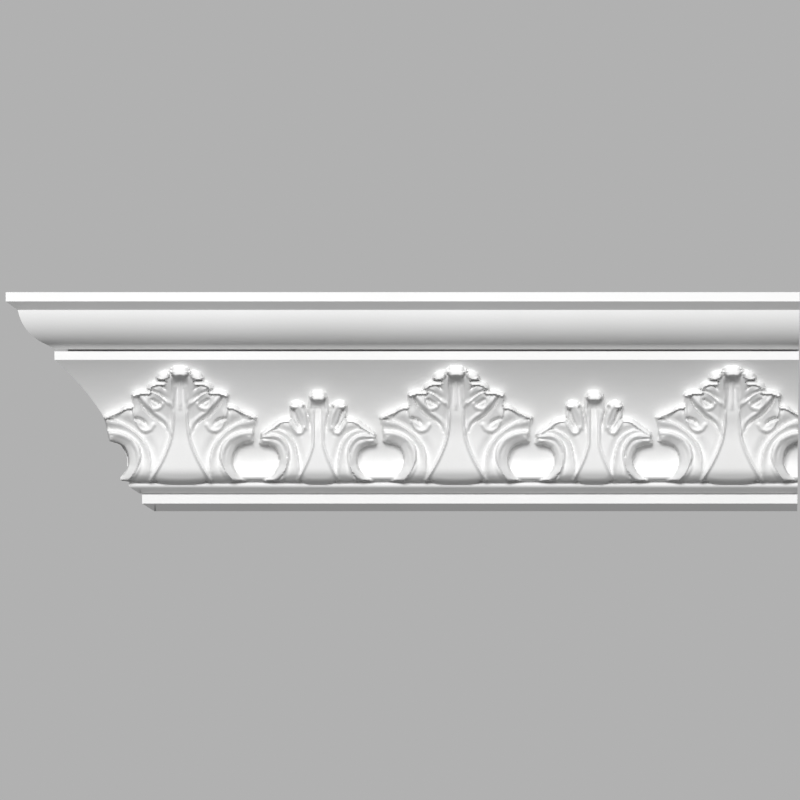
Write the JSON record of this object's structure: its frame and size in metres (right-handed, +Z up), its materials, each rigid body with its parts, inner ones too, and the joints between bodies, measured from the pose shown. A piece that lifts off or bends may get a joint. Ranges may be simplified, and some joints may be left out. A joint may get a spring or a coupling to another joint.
{
  "type": "cornice moulding length",
  "caption": "Cast crown moulding length with an acanthus leaf frieze, mitred at its left end, for the corner between wall and ceiling.",
  "frame": {"origin": "on the wall bearing face, at half the height of that face and half the length of the front edge", "axes": "+X to the right along the length, -Y out of the wall towards the room, +Z up to the ceiling"},
  "size_m": [0.43, 0.09, 0.119],
  "materials": {
    "primed_white": "matte white primer on moulded rigid polyurethane"
  },
  "bodies": {
    "root": {"cornice_length": "primed_white"}
  },
  "joints": []
}
